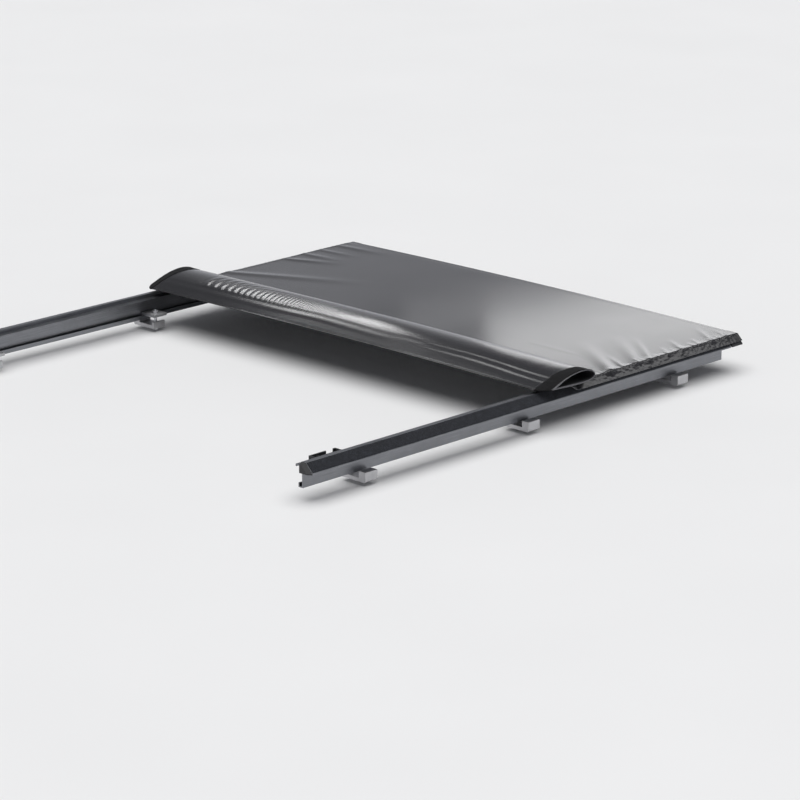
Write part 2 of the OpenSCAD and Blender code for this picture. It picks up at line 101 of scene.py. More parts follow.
# Roll: place of its rear edge; its leaf-shaped section, whose rear tip moves in and up with
# each layer; its ends, where the rear edge is drawn in; and its layers
ROLL_Y = -0.850
ROLL_Z = 0.0365
ROLL_LENGTH = 0.215
ROLL_TOP = (0.150, 0.033)
ROLL_LOW = (0.170, -0.005)
ROLL_MID_Z = 0.010
TIP_IN, TIP_UP = 3.94, 0.7
ROLL_HALF = 0.805
END_WIDTH = 0.040
END_START = ROLL_HALF - END_WIDTH
END_PULL = 0.035
LAYER_PITCH = 0.0016
LAYER_START = 0.0004
LAYER_TURNS = 2.3
OUTER_TURNS = 1.05


def rise(x):
    """Height of the crown over the cover's edge."""
    return CROWN * (1 - (np.minimum(np.abs(x), BEND_X) / BEND_X) ** 2)


def smoothstep(low, high, value):
    """Smooth ramp from 0 at low to 1 at high, either of which may be the larger."""
    t = np.clip((value - low) / (high - low), 0, 1)
    return t * t * (3 - 2 * t)


def bell(value, middle, width):
    """Bell curve that is 1 at the middle."""
    return np.exp(-(((value - middle) / width) ** 2))


def noise(x, y, cell_x, cell_y, seed):
    """Smooth random field from -1 to 1, with features about a cell wide."""
    table = np.random.default_rng(seed).uniform(-1, 1, (64, 64))
    gx, gy = x / cell_x + 100.5, y / cell_y + 100.5
    ix, iy = np.floor(gx).astype(int), np.floor(gy).astype(int)
    fx, fy = gx - ix, gy - iy
    fx = fx**3 * (fx * (6 * fx - 15) + 10)
    fy = fy**3 * (fy * (6 * fy - 15) + 10)
    near = table[ix % 64, iy % 64] * (1 - fx) + table[(ix + 1) % 64, iy % 64] * fx
    far = table[ix % 64, (iy + 1) % 64] * (1 - fx)
    far += table[(ix + 1) % 64, (iy + 1) % 64] * fx
    return near * (1 - fy) + far * fy


# ---- meshes ----

SHARP_ANGLE = math.radians(50)


def mesh_object(name, points, faces, uv, materials, indices=None):
    """Smooth-shaded object from arrays of points, faces, and one UV a point."""
    mesh = bpy.data.meshes.new(name)
    mesh.from_pydata(points.tolist(), [], faces.tolist())
    layer = mesh.uv_layers.new(name="UVMap")
    corner = np.zeros(len(mesh.loops), np.int32)
    mesh.loops.foreach_get("vertex_index", corner)
    layer.data.foreach_set("uv", uv[corner].astype(np.float32).ravel())
    for material in materials:
        mesh.materials.append(material)
    if indices is not None:
        mesh.polygons.foreach_set("material_index", indices.astype(np.int32))
    mesh.shade_smooth()
    mesh.set_sharp_from_angle(angle=SHARP_ANGLE)
    mesh.update()
    obj = bpy.data.objects.new(name, mesh)
    bpy.context.scene.collection.objects.link(obj)
    return obj


def skin(name, outer, inner, uv, materials, keep=None, wrap=False):
    """Closed sheet between two grids of points, rows by columns by xyz.

    The materials are the outer face's, the inner face's and the rim's. keep says which quads
    are there, and wrap joins the last row to the first.
    """
    rows, columns = outer.shape[:2]
    count = rows * columns
    index = np.arange(count).reshape(rows, columns)
    if wrap:
        index = np.vstack([index, index[:1]])
    quads = np.stack(
        [index[:-1, :-1], index[:-1, 1:], index[1:, 1:], index[1:, :-1]], axis=-1
    )
    quads = quads[keep] if keep is not None else quads.reshape(-1, 4)
    a = quads.ravel()
    b = np.roll(quads, -1, axis=1).ravel()
    open_edge = ~np.isin(a * count + b, b * count + a)
    a, b = a[open_edge], b[open_edge]
    rim = np.stack([b, a, a + count, b + count], axis=-1)
    faces = np.vstack([quads, quads[:, ::-1] + count, rim])
    indices = np.repeat([0, 1, 2], [len(quads), len(quads), len(rim)])
    points = np.vstack([outer.reshape(-1, 3), inner.reshape(-1, 3)])
    used, faces_used = np.unique(faces, return_inverse=True)
    uv = np.vstack([uv.reshape(-1, 2)] * 2)[used]
    return mesh_object(name, points[used], faces_used.reshape(-1, 4), uv, materials, indices)


# A stitch: where its rings lie along it and how wide they are, and the quads that close its ends
STITCH_RINGS = ((-0.5, 0.15), (-0.32, 1.0), (0.32, 1.0), (0.5, 0.15))
STITCH_SIDES = 6
STITCH_CAPS = (((3, 2, 1, 0), (0, 5, 4, 3)), ((0, 1, 2, 3), (0, 3, 4, 5)))
STITCH_LENGTH = 0.0026
STITCH_RADIUS = 0.00035
# How far a stitch's middle stands over the cloth: less than its radius, so it looks sunk in
STITCH_PROUD = 0.00008


def stitching(name, rows, material):
    """Rows of thread as short beads; each row gives points, directions and face normals."""
    middle, along, up = (np.vstack(parts) for parts in zip(*rows))
    side = np.cross(along, up)
    rings = []
    for place, width in STITCH_RINGS:
        centre = middle + along * (place * STITCH_LENGTH)
        for k in range(STITCH_SIDES):
            turn = 2 * math.pi * k / STITCH_SIDES
            spoke = math.cos(turn) * side + math.sin(turn) * up
            rings.append(centre + spoke * (STITCH_RADIUS * width))
    points = np.stack(rings, axis=1)
    per_stitch = len(STITCH_RINGS) * STITCH_SIDES
    quads = []
    for ring in range(len(STITCH_RINGS) - 1):
        for k in range(STITCH_SIDES):
            a, b = ring * STITCH_SIDES + k, ring * STITCH_SIDES + (k + 1) % STITCH_SIDES
            quads.append([a, b, b + STITCH_SIDES, a + STITCH_SIDES])
    last = (len(STITCH_RINGS) - 1) * STITCH_SIDES
    for base, caps in zip((0, last), STITCH_CAPS):
        quads += [[base + k for k in order] for order in caps]
    starts = np.arange(len(points)) * per_stitch
    faces = (starts[:, None, None] + np.array(quads)[None]).reshape(-1, 4)
    points = points.reshape(-1, 3)
    return mesh_object(name, points, faces, points[:, :2], [material])


# ---- materials ----


class Look:
    """One procedural material: its Principled shader and the nodes that feed it."""

    def __init__(self, name, **shader):
        self.material = bpy.data.materials.new(name)
        self.material.use_nodes = True
        self.tree = self.material.node_tree
        self.shader = self.tree.nodes["Principled BSDF"]
        for socket, value in shader.items():
            self.shader.inputs[socket.replace("_", " ")].default_value = value

    def node(self, kind, inputs=(), **settings):
        """New shader node, with values or other nodes' sockets for its inputs."""
        node = self.tree.nodes.new("ShaderNode" + kind)
        for name, value in settings.items():
            setattr(node, name, value)
        for socket, value in dict(inputs).items():
            self.feed(node.inputs[socket], value)
        return node

    def feed(self, socket, value):
        """Links a socket to another one, or sets its value."""
        if isinstance(value, bpy.types.NodeSocket):
            self.tree.links.new(value, socket)
        else:
            socket.default_value = value

    def place(self, source="Object", stretch=(1, 1, 1)):
        """Coordinates in metres, squeezed by stretch: a small value draws a pattern out."""
        coordinates = self.node("TexCoord")
        mapping = self.node("Mapping", {0: coordinates.outputs[source], "Scale": stretch})
        return mapping.outputs[0]

    def noise(self, place, scale, detail=3, roughness=0.5):
        inputs = {"Vector": place, "Scale": scale, "Detail": detail, "Roughness": roughness}
        return self.node("TexNoise", inputs).outputs["Fac"]

    def cells(self, place, scale, feature="SMOOTH_F1"):
        inputs = {"Vector": place, "Scale": scale}
        return self.node("TexVoronoi", inputs, feature=feature).outputs["Distance"]

    def bands(self, place, pitch, direction):
        """Parallel bands a pitch apart along one axis; at scale 1 the node's pitch is pi / 10."""
        inputs = {"Vector": place, "Scale": math.pi / (10 * pitch), "Distortion": 0}
        return self.node("TexWave", inputs, bands_direction=direction).outputs["Fac"]

    def remap(self, value, low, high, to_low=0.0, to_high=1.0):
        """Stretches low..high to to_low..to_high, and cuts off what lies beyond."""
        inputs = {0: value, 1: low, 2: high, 3: to_low, 4: to_high}
        return self.node("MapRange", inputs).outputs[0]

    def combine(self, a, b, operation="ADD"):
        """Sum of two values, or what another operation makes of them."""
        return self.node("Math", {0: a, 1: b}, operation=operation).outputs[0]

    def blend(self, amount, a, b):
        inputs = {0: amount, 6: a, 7: b}
        return self.node("Mix", inputs, data_type="RGBA").outputs[2]

    def colour(self, amount, a, b):
        """Base colour that runs from a to b."""
        self.feed(self.shader.inputs["Base Color"], self.blend(amount, (*a, 1), (*b, 1)))

    def worn_edges(self, radius=0.0006):
        """From 0 on a face to 1 along its sharp edges."""
        bevel = self.node("Bevel", {"Radius": radius}, samples=4)
        true = self.node("NewGeometry").outputs["Normal"]
        inputs = {0: bevel.outputs[0], 1: true}
        dot = self.node("VectorMath", inputs, operation="DOT_PRODUCT").outputs["Value"]
        return self.remap(dot, 0.995, 0.86)

    def bump(self, height, distance, under=None):
        """Normal for a height that is distance metres tall, on top of the normal under it."""
        inputs = {"Height": height, "Distance": distance}
        if under is not None:
            inputs["Normal"] = under
        return self.node("Bump", inputs).outputs[0]

    def finish(self, normal=None, roughness=None):
        """Links the normal and roughness that are given, and gives the material."""
        if normal is not None:
            self.feed(self.shader.inputs["Normal"], normal)
        if roughness is not None:
            self.feed(self.shader.inputs["Roughness"], roughness)
        return self.material


def vinyl(name, dark, light, smooth, rough):
    """Glossy coated vinyl with a leather grain; its UVs are metres along the cloth."""
    look = Look(name, IOR=1.5, Sheen_Weight=0.04, Sheen_Roughness=0.4)
    place = look.place("UV")
    pebbles = look.cells(place, 760)
    creases = look.noise(place, 1900, detail=4, roughness=0.6)
    handling = look.noise(place, 4, detail=2, roughness=0.5)
    look.colour(look.remap(handling, 0.3, 0.7), dark, light)
    grain = look.bump(creases, 0.000012, look.bump(pebbles, 0.00004))
    return look.finish(grain, look.remap(handling, 0.25, 0.75, smooth, rough))


def scrim():
    """Cut edge of the vinyl, where its woven polyester core shows."""
    look = Look("scrim_edge", Roughness=0.85)
    place = look.place("UV")
    threads = [look.bands(place, 0.0006, axis) for axis in "XY"]
    weave = look.combine(*threads, "MULTIPLY")
    look.colour(weave, (0.14, 0.14, 0.15), (0.30, 0.30, 0.32))
    return look.finish(look.bump(weave, 0.0001))


def pile_tape(name, dark, light, sheen):
    """Woven tape covered in small hooks or loops."""
    look = Look(
        name, Roughness=0.8, Sheen_Weight=sheen, Sheen_Roughness=0.5, Specular_IOR_Level=0.2
    )
    place = look.place("UV")
    tufts = look.cells(place, 620, "F1")
    drift = look.noise(place, 60, detail=4)
    speckle = look.combine(look.remap(tufts, 0.15, 0.75, 1, 0), drift, "MULTIPLY")
    look.colour(look.remap(speckle, 0.1, 0.6), dark, light)
    fibres = look.bump(look.noise(place, 2600, detail=2), 0.0001)
    return look.finish(look.bump(tufts, 0.0005, fibres))


def thread(name, dark, light):
    """Twisted sewing thread."""
    look = Look(name, Roughness=0.55, Sheen_Weight=0.3, Sheen_Roughness=0.4)
    twist = look.bands(look.place("Object", (1, 1, 0.4)), 0.0005, "DIAGONAL")
    look.colour(twist, dark, light)
    return look.finish(look.bump(twist, 0.00008))


def webbing():
    """Ribbed nylon webbing: ribs run along it, fine picks cross them."""
    look = Look("strap_webbing_weave", Roughness=0.6, Sheen_Weight=0.25, Sheen_Roughness=0.4)
    place = look.place("UV")
    picks = look.bands(place, 0.0009, "Y")
    ribs = look.bands(place, 0.0021, "X")
    fuzz = look.noise(place, 900, detail=3)
    look.colour(look.combine(picks, fuzz, "MULTIPLY"), (0.012, 0.012, 0.013), (0.045, 0.045, 0.05))
    return look.finish(look.bump(look.combine(picks, ribs), 0.00015))


def extruded(name, dark, light, smooth, rough, axis):
    """Extruded aluminium with die lines along one axis and brighter, rubbed edges."""
    look = Look(name, Metallic=1.0)
    stretch = [1.0, 1.0, 1.0]
    stretch["XYZ".index(axis)] = 0.012
    along = look.place("Object", stretch)
    lines = look.noise(along, 900, detail=4, roughness=0.65)
    stains = look.noise(look.place(), 9, detail=5, roughness=0.6)
    tone = look.combine(look.remap(lines, 0.3, 0.7), look.remap(stains, 0.3, 0.7), "MULTIPLY")
    body = look.blend(tone, (*dark, 1), (*light, 1))
    rubbed = look.combine(look.worn_edges(), look.remap(stains, 0.35, 0.6), "MULTIPLY")
    rim = tuple(min(1.0, 1.5 * value) for value in light)
    look.feed(look.shader.inputs["Base Color"], look.blend(rubbed, body, (*rim, 1)))
    surface = look.bump(lines, 0.00006)
    return look.finish(surface, look.remap(stains, 0.3, 0.7, smooth, rough))


def cast(name, dark, light):
    """Cast and tumbled aluminium, faintly pitted."""
    look = Look(name, Metallic=1.0)
    place = look.place()
    pits = look.noise(place, 520, detail=5, roughness=0.7)
    patches = look.noise(place, 28, detail=4)
    body = look.blend(look.remap(patches, 0.3, 0.7), (*dark, 1), (*light, 1))
    worn = look.blend(look.worn_edges(0.001), body, (0.8, 0.8, 0.8, 1))
    look.feed(look.shader.inputs["Base Color"], worn)
    return look.finish(look.bump(pits, 0.00025), look.remap(patches, 0.3, 0.7, 0.38, 0.55))


def plated(name, dark, light, rough):
    """Plated or drawn steel with fine scratches and a faint cloudy tint."""
    look = Look(name, Metallic=1.0)
    scratches = look.noise(look.place("Object", (1, 0.06, 1)), 1500, detail=3)
    cloud = look.noise(look.place(), 130, detail=4)
    look.colour(look.remap(cloud, 0.3, 0.7), dark, light)
    surface = look.bump(scratches, 0.00003)
    return look.finish(surface, look.remap(cloud, 0.3, 0.7, rough, rough + 0.16))


def moulded(name, dark, light, rough, grain):
    """Moulded plastic with a spark-eroded grain, greyer where its edges are rubbed."""
    look = Look(name, IOR=1.49)
    place = look.place()
    texture = look.noise(place, 1400, detail=3, roughness=0.6)
    dust = look.noise(place, 40, detail=5, roughness=0.65)
    body = look.blend(look.remap(dust, 0.35, 0.75), (*dark, 1), (*light, 1))
    rub = tuple(2.6 * value for value in light)
    edge = look.combine(look.worn_edges(0.0008), look.remap(dust, 0.4, 0.65), "MULTIPLY")
    look.feed(look.shader.inputs["Base Color"], look.blend(edge, body, (*rub, 1)))
    return look.finish(look.bump(texture, grain), look.remap(dust, 0.3, 0.7, rough, rough + 0.14))


def rubber():
    """Closed-cell sponge rubber with its fine open pores."""
    look = Look("seal_rubber_sponge", Roughness=0.9)
    place = look.place()
    pores = look.cells(place, 900, "F1")
    chalk = look.noise(place, 70, detail=4)
    look.colour(look.remap(chalk, 0.35, 0.75), (0.014, 0.014, 0.014), (0.04, 0.04, 0.041))
    return look.finish(look.bump(look.remap(pores, 0.0, 0.3), 0.00025))


def pale_floor():
    """Matt floor with barely seen clouds."""
    look = Look("pale_floor", Roughness=0.7)
    look.colour(look.noise(look.place(), 1.5, detail=2), (0.80, 0.80, 0.80), (0.84, 0.84, 0.84))
    return look.finish()


LEATHER = vinyl("cover_vinyl_outer", (0.014, 0.014, 0.016), (0.020, 0.020, 0.023), 0.21, 0.235)
LINING = vinyl("cover_vinyl_lining", (0.018, 0.018, 0.020), (0.026, 0.026, 0.028), 0.44, 0.52)
SCRIM = scrim()
COVER = [LEATHER, LINING, SCRIM]
HOOK = pile_tape("hook_tape_pile", (0.008, 0.009, 0.012), (0.040, 0.044, 0.056), 0.12)
LOOP = pile_tape("loop_tape_pile", (0.003, 0.003, 0.0034), (0.011, 0.011, 0.012), 0.03)
THREAD = thread("sewing_thread", (0.020, 0.020, 0.022), (0.085, 0.085, 0.090))
WEBBING = webbing()
SLOT_LOOKS = {
    "rail_aluminium": extruded(
        "anodised_rail", (0.20, 0.205, 0.22), (0.33, 0.34, 0.36), 0.30, 0.42, "Y"
    ),
    "bow_aluminium": extruded(
        "mill_finish_bow", (0.48, 0.49, 0.50), (0.66, 0.67, 0.68), 0.28, 0.42, "X"
    ),
    "clamp_aluminium": cast("cast_clamp", (0.44, 0.44, 0.45), (0.60, 0.60, 0.61)),
    "seal_rubber": rubber(),
    "black_plastic": moulded(
        "moulded_black", (0.016, 0.016, 0.018), (0.030, 0.030, 0.033), 0.46, 0.00006
    ),
    "lever_plastic": moulded(
        "moulded_lever", (0.024, 0.024, 0.027), (0.042, 0.042, 0.046), 0.26, 0.00002
    ),
    "zinc_steel": plated("zinc_plate", (0.52, 0.53, 0.55), (0.70, 0.71, 0.74), 0.22),
    "spring_steel": plated("drawn_wire", (0.34, 0.34, 0.35), (0.50, 0.50, 0.51), 0.28),
}
HEADER_LOOK = extruded(
    "anodised_header", (0.20, 0.205, 0.22), (0.33, 0.34, 0.36), 0.30, 0.42, "X"
)


def dress_frame():
    """Gives every CAD node its slot's material; the header's parts get die lines along X.

    The soft nodes get the vinyl, and the pieces made below take their place.
    """
    slots = {row["node"]: row["material_slot"] for row in frame["record"]["subparts"]}
    for name, obj in frame["nodes"].items():
        look = SLOT_LOOKS.get(slots[name], LEATHER)
        if name in ("front_header", "cover_retainer"):
            look = HEADER_LOOK
        obj.data.materials.clear()
        obj.data.materials.append(look)


# ---- flat part of the cover ----

# Cloth lengths from the middle of the bed: the top, the hem's bend, the straight below it
FLAT_END = SLOPE_X + 0.0024
HEM_ARC = HEM_BEND * math.pi / 4
HEM_STRAIGHT = 0.0234
HALF_CLOTH = FLAT_END + HEM_ARC + HEM_STRAIGHT


def section(c):
    """Outer face of the cover across the bed: x, z and the normal's x, z at cloth length c."""
    side, a = np.sign(c), np.abs(c)
    turn = np.clip((a - FLAT_END) / HEM_BEND, 0, math.pi / 4)
    down = np.maximum(a - FLAT_END - HEM_ARC, 0)
    x = np.minimum(a, FLAT_END) + HEM_BEND * np.sin(turn) + down * HALF_ROOT
    z = TOP_Z + rise(np.minimum(a, FLAT_END))
    z = z - HEM_BEND * (1 - np.cos(turn)) - down * HALF_ROOT
    return side * x, z, side * np.sin(turn), np.cos(turn)


def ridge(c, y, start, end, width, height):
    """Soft fold that is highest at start and dies out at end."""
    dx, dy = end[0] - start[0], end[1] - start[1]
    length = math.hypot(dx, dy)
    along = ((c - start[0]) * dx + (y - start[1]) * dy) / length**2
    across = ((c - start[0]) * dy - (y - start[1]) * dx) / length
    fade = smoothstep(1.05, 0.15, along) * smoothstep(-0.16, 0.06, along)
    spread = width * (0.75 + 0.6 * np.clip(along, 0, 1))
    return height * fade * np.exp(-((across / spread) ** 2))


# Soft folds of the flat cover: start and end across and along the bed, width, height
LEFT_FOLDS = (
    ((-0.770, -0.530), (-0.330, -0.335), 0.024, 0.0019),
    ((-0.762, -0.290), (-0.560, -0.215), 0.019, 0.0014),
    ((-0.766, -0.207), (-0.580, -0.200), 0.017, 0.0012),
    ((-0.766, -0.137), (-0.600, -0.130), 0.014, 0.0010),
    ((-0.760, -0.058), (-0.540, -0.044), 0.018, 0.0012),
)
RIGHT_FOLDS = (
    ((0.782, -0.545), (0.510, -0.365), 0.022, 0.0040),
    ((0.762, -0.480), (0.660, -0.425), 0.008, 0.0014),
    ((0.766, -0.425), (0.560, -0.258), 0.018, 0.0032),
    ((0.776, -0.377), (0.600, -0.232), 0.009, 0.0025),
    ((0.782, -0.300), (0.715, -0.255), 0.007, 0.0012),
    ((0.783, -0.240), (0.680, -0.180), 0.008, 0.0016),
    ((0.781, -0.161), (0.715, -0.128), 0.006, 0.0012),
    ((0.783, -0.109), (0.645, -0.025), 0.009, 0.0016),
    ((0.783, -0.046), (0.700, -0.004), 0.007, 0.0011),
)
# Gathers at the hems: ends of their row, angle and its spread, reach, height, width and
# pitch, and strength on each side
PUCKER_ENDS = (-0.625, -0.01)
PUCKER_ANGLE = math.radians(34)
PUCKER_SPREAD = (0.4, 1.3)
PUCKER_REACH = (0.012, 0.040)
PUCKER_HEIGHT = (0.0004, 0.0012)
PUCKER_WIDTH = (0.0025, 0.0045)
PUCKER_PITCH = (0.006, 0.015)
PUCKER_STRENGTH = {-1: 0.35, 1: 1.0}

# Low swells of the flat cloth, as height and cell size across and along; the front bow under
# it, as place and how far it shows; fine crinkles along the hems
SWELLS = ((0.0007, 0.34, 0.26), (0.0003, 0.11, 0.13))
FRONT_BOW_Y = -0.485
FRONT_BOW_SHOWS = 0.0004
CRINKLE_HEIGHT = 0.0004


def hem_puckers(side, c, y):
    """Gathers that run in from a hem's bend, as the cloth is pulled tight over its tape."""
    rng = np.random.default_rng(SEED + 5 + side)
    height = np.zeros_like(c)
    place = PUCKER_ENDS[0]
    while place < PUCKER_ENDS[1]:
        reach = rng.uniform(*PUCKER_REACH)
        angle = PUCKER_ANGLE * rng.uniform(*PUCKER_SPREAD)
        start = (side * (BEND_X + 0.003), place)
        end = (start[0] - side * reach * math.cos(angle), place + reach * math.sin(angle))
        tall = rng.uniform(*PUCKER_HEIGHT) * PUCKER_STRENGTH[side]
        height += ridge(c, y, start, end, rng.uniform(*PUCKER_WIDTH), tall)
        place += rng.uniform(*PUCKER_PITCH)
    return height


def cover_relief(c, y):
    """Height of the cover's folds over its smooth shape; the cloth only lifts off its frame."""
    height = np.zeros_like(c)
    for order, (tall, *cell) in enumerate(SWELLS):
        height += tall * (1 + noise(c, y, *cell, SEED + order)) / 2
    for fold in LEFT_FOLDS + RIGHT_FOLDS:
        height += ridge(c, y, *fold)
    for side in SIDES.values():
        height += hem_puckers(side, c, y)
    bow = bell(y, FRONT_BOW_Y, 0.020) * smoothstep(0.74, 0.60, np.abs(c))
    height = np.maximum(height, FRONT_BOW_SHOWS * bow)
    on_top = smoothstep(HALF_CLOTH - 0.006, FLAT_END + 0.002, np.abs(c))
    height = height * (0.25 + 0.75 * on_top)
    crinkle = smoothstep(FLAT_END - 0.012, FLAT_END + 0.004, np.abs(c))
    height += CRINKLE_HEIGHT * crinkle * (1 + noise(c, y, 0.0060, 0.0065, SEED + 2))
    free = smoothstep(-0.672, -0.625, y) * smoothstep(0.004, -0.020, y)
    return height * free


def cover_points(c, y, depth):
    """Points of the cover, depth metres under its outer face, at cloth lengths c and y."""
    x, z, nx, nz = section(c)
    flat = smoothstep(*TUCK_FLAT, y)
    x = x * (1 - flat) + c * flat
    z = z * (1 - flat) + (TOP_Z + rise(c)) * flat
    nx, nz = nx * (1 - flat), nz * (1 - flat) + flat
    z = z + TUCK_LIFT * smoothstep(TUCK_RISE_Y, TUCK_Y, y)
    lift = cover_relief(c, y) - depth
    fold_y = FRONT_Y - FRONT_BEND
    apron = np.abs(c) < APRON_X
    turn = np.where(apron, np.clip((y - fold_y) / FRONT_BEND, 0, math.pi / 2), 0)
    down = np.where(apron, np.maximum(y - fold_y - FRONT_BEND * math.pi / 2, 0), 0)
    ahead = np.where(turn > 0, fold_y + FRONT_BEND * np.sin(turn), y)
    z = z - FRONT_BEND * (1 - np.cos(turn)) - down
    normal = np.stack([nx * np.cos(turn), np.sin(turn), nz * np.cos(turn)], axis=-1)
    return np.stack([x, ahead, z], axis=-1) + normal * lift[..., None], normal


# Mesh of the flat cover: where its coarse middle ends and its fine sides begin, steps across
# at the hem, side and middle, and steps along on top, round the front bend and down the apron
MIDDLE_HALF, SIDE_FROM = 0.440, 0.450
HEM_STEP, SIDE_STEP, MIDDLE_STEP = 0.0016, 0.0060, 0.0110
ROW_STEP, BEND_STEP, APRON_STEP = 0.0030, 0.0007, 0.004


def spaced(low, high, step):
    """Even places from low to high, about a step apart."""
    return np.linspace(low, high, max(2, int(round((high - low) / step)) + 1))


def flat_cover():
    """The vinyl sheet, with columns of points just inside the apron's two sides."""
    hem = spaced(FLAT_END - 0.001, HALF_CLOTH, HEM_STEP)
    beside = spaced(SIDE_FROM, FLAT_END - 0.005, SIDE_STEP)
    middle = spaced(-MIDDLE_HALF, MIDDLE_HALF, MIDDLE_STEP)
    across = np.concatenate([-hem[::-1], -beside[::-1], middle, beside, hem])
    distance = np.abs(across)
    nearest = distance[np.argmin(np.abs(distance - APRON_X))]
    at_side = np.abs(distance - nearest) < 1e-6
    across = np.sort(np.where(at_side, np.sign(across) * (APRON_X - 1e-4), across))
    fold_y = FRONT_Y - FRONT_BEND
    arc_end = fold_y + FRONT_BEND * math.pi / 2
    apron_end = arc_end + TOP_Z - FRONT_BEND - APRON_LOW
    along = np.concatenate([
        spaced(TUCK_Y, fold_y - ROW_STEP, ROW_STEP),
        spaced(fold_y, arc_end, BEND_STEP),
        spaced(arc_end + ROW_STEP, apron_end, APRON_STEP),
    ])
    c, y = np.meshgrid(across, along)
    outer, _ = cover_points(c, y, 0.0)
    inner, _ = cover_points(c, y, VINYL)
    central = np.maximum(np.abs(c[:-1, :-1]), np.abs(c[:-1, 1:])) < APRON_X
    keep = central | (y[1:, 1:] < FRONT_Y + 0.0005)
    obj = skin("flat_cover", outer, inner, np.stack([c, y], axis=-1), COVER, keep)
    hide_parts("cover_sheet")
    return obj, 2 * HALF_CLOTH, apron_end - TUCK_Y


# Stitches of the flat cover: cloth lengths of a hem's two rows; start, end and pitch of those
# rows and of the row across the front; and that row's place along the bed
HEM_ROWS = (HALF_CLOTH - 0.004, FLAT_END + HEM_ARC + 0.003)
HEM_STITCHES = (-0.630, 0.006, 0.0040)
FRONT_STITCHES = (-0.728, 0.728, 0.0042)
FRONT_ROW_Y = -0.006


def cover_seams():
    """Two rows of stitches down each hem and one across the front, sunk into the vinyl."""
    rows = []
    for side in SIDES.values():
        for c in HEM_ROWS:
            y = np.arange(*HEM_STITCHES)
            rows.append(stitch_row(np.full_like(y, side * c), y, (0, 1, 0)))
    x = np.arange(*FRONT_STITCHES)
    rows.append(stitch_row(x, np.full_like(x, FRONT_ROW_Y), (1, 0, 0)))
    return stitching("cover_seams", rows, THREAD)


def stitch_row(c, y, along):
    """Points, directions and face normals of one row of stitches on the flat cover."""
    points, up = cover_points(c, y, -STITCH_PROUD)
    return points, np.broadcast_to(np.array(along, float), points.shape), up


# Loop tape: its ends along the bed, and its flat size. Hook tape: where it starts down the
# rail's slope, and its width
LOOP_TAPE_ENDS = (-0.738, 0.010)
HOOK_TAPE_TOP = 0.0017
HOOK_TAPE_WIDTH = 0.0316


def pile(shape, seed, tall):
    """Random heights of a hook or loop pile."""
    heights = np.random.default_rng(seed).uniform(0, 1, shape)
    return tall * heights**1.5


def cover_loop_tape(side_name):
    """Loop tape sewn under one hem; its pile faces the rail's hook tape."""
    side = SIDES[side_name]
    across = spaced(FLAT_END + HEM_ARC, HALF_CLOTH - 0.001, 0.0014) * side
    along = spaced(*LOOP_TAPE_ENDS, 0.0022)
    c, y = np.meshgrid(across[::side], along)
    outer, _ = cover_points(c, y, VINYL + 0.0001)
    depth = VINYL + 0.0015 - pile(c.shape, SEED + 20 + side, 0.0004)
    inner, _ = cover_points(c, y, depth)
    uv = np.stack([c, y], axis=-1)
    obj = skin(f"{side_name}_cover_loop_tape", outer, inner, uv, [LOOP] * 3)
    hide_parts(f"{side_name}_loop_tape")
    return obj


def rail_hook_tape(side_name):
    """Hook tape stuck down the sloping face of one rail."""
    side = SIDES[side_name]
    low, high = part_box(f"{side_name}_hook_tape")
    down = spaced(HOOK_TAPE_TOP, HOOK_TAPE_TOP + HOOK_TAPE_WIDTH, 0.0013)
    along = spaced(low.y, high.y, 0.0019)
    s, y = np.meshgrid(down[::side], along)
    out = 0.0010 + pile(s.shape, SEED + 30 + side, 0.0005)
    out[:, [0, -1]] = 0.0009
    points = []
    for off in (out, np.full_like(out, 0.00002)):
        x = SLOPE_X + (s + off) * HALF_ROOT
        points.append(np.stack([side * x, y, RAIL_TOP + (off - s) * HALF_ROOT], axis=-1))
    uv = np.stack([s, y], axis=-1)
    obj = skin(f"{side_name}_rail_hook_tape", *points, uv, [HOOK] * 3)
    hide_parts(f"{side_name}_hook_tape")
    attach(obj, "root")


# ---- roll ----


def leaf_point(t, inset):
    """Point of the roll's section, rear edge at the origin; t runs over its four quarters."""
    quarter = math.floor(t)
    u = (t - quarter) * math.pi / 2
    share = t - quarter
    tip_y, tip_z = TIP_IN * inset, TIP_UP * inset
    low_z, top_z = ROLL_LOW[1] + inset, ROLL_TOP[1] - inset
    front = ROLL_LENGTH - inset
    if quarter == 0:
        return tip_y + (ROLL_LOW[0] - tip_y) * share, tip_z + (low_z - tip_z) * math.sin(u)
    if quarter == 1:
        return (
            ROLL_LOW[0] + (front - ROLL_LOW[0]) * math.sin(u),
            ROLL_MID_Z - (ROLL_MID_Z - low_z) * math.cos(u),
        )
    if quarter == 2:
        return (
            ROLL_TOP[0] + (front - ROLL_TOP[0]) * math.cos(u),
            ROLL_MID_Z + (top_z - ROLL_MID_Z) * math.sin(u),
        )
    return (
        ROLL_TOP[0] + (tip_y - ROLL_TOP[0]) * share,
        tip_z + (top_z - tip_z) * math.cos(u),
    )


# The path's samples and smoothing passes, and the quarter of the section where it starts
PATH_SAMPLES = 2400
PATH_SMOOTHING = 60
PATH_START = 0.95


